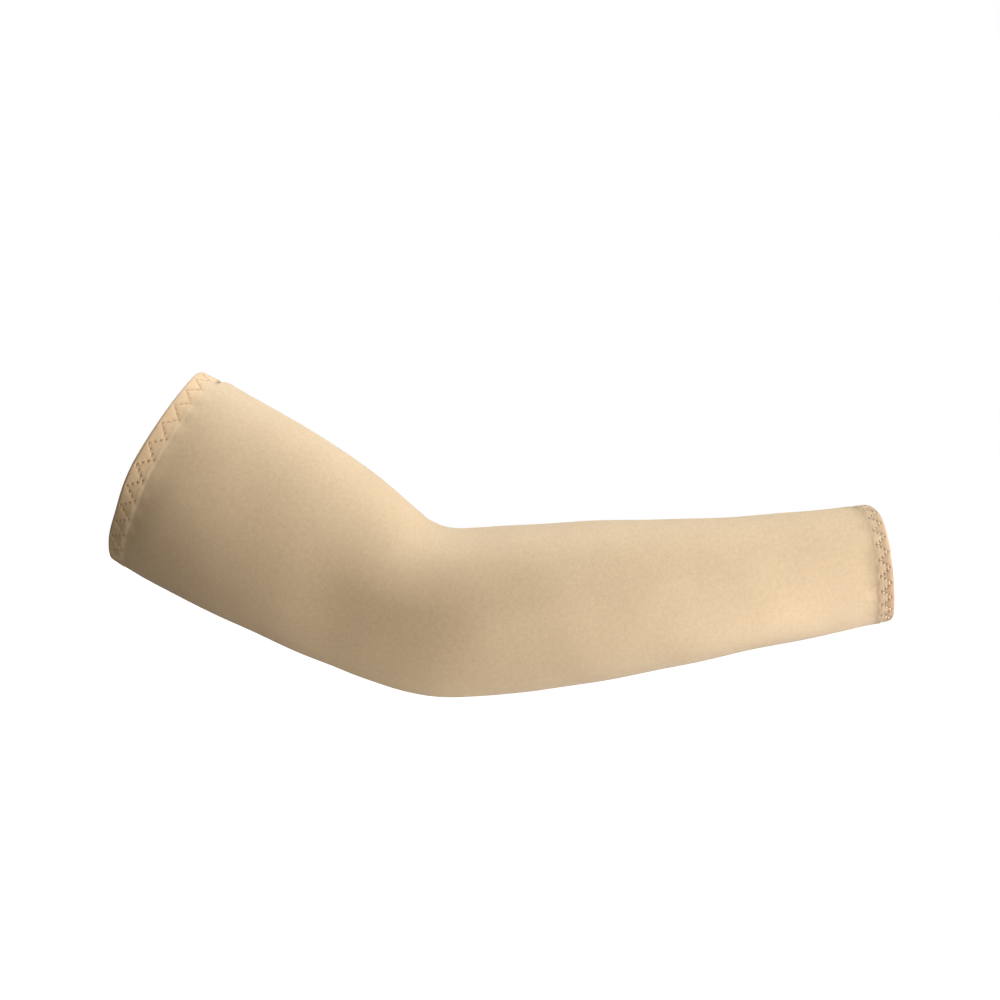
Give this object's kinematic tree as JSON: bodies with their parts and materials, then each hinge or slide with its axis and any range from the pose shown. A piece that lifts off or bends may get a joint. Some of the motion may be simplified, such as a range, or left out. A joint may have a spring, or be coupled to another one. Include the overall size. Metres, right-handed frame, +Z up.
{
  "type": "cooling arm sleeve",
  "caption": "Stretch-knit cooling sleeve in its worn form: a tapering tube bent at the elbow, with a turned and zigzag-sewn hem at the upper arm and at the wrist.",
  "frame": {"origin": "centre of the upper-arm opening, where the arm goes in and the hem grips it", "axes": "+X from the upper-arm opening towards the wrist, +Z up in the plane that the elbow bends in, Y across the arm; the part is the same on both sides of the plane Y = 0"},
  "size_m": [0.3885, 0.0874, 0.1608],
  "materials": {
    "knit": "fine smooth stretch knit, light beige, soft matt with a faint sheen",
    "hem": "the same knit turned in and sewn down, a little denser and darker",
    "thread": "matching textured sewing thread"
  },
  "bodies": {
    "root": {"sleeve_panel": "knit", "upper_hem": "hem", "wrist_hem": "hem", "seam_allowance": "thread"}
  },
  "joints": []
}
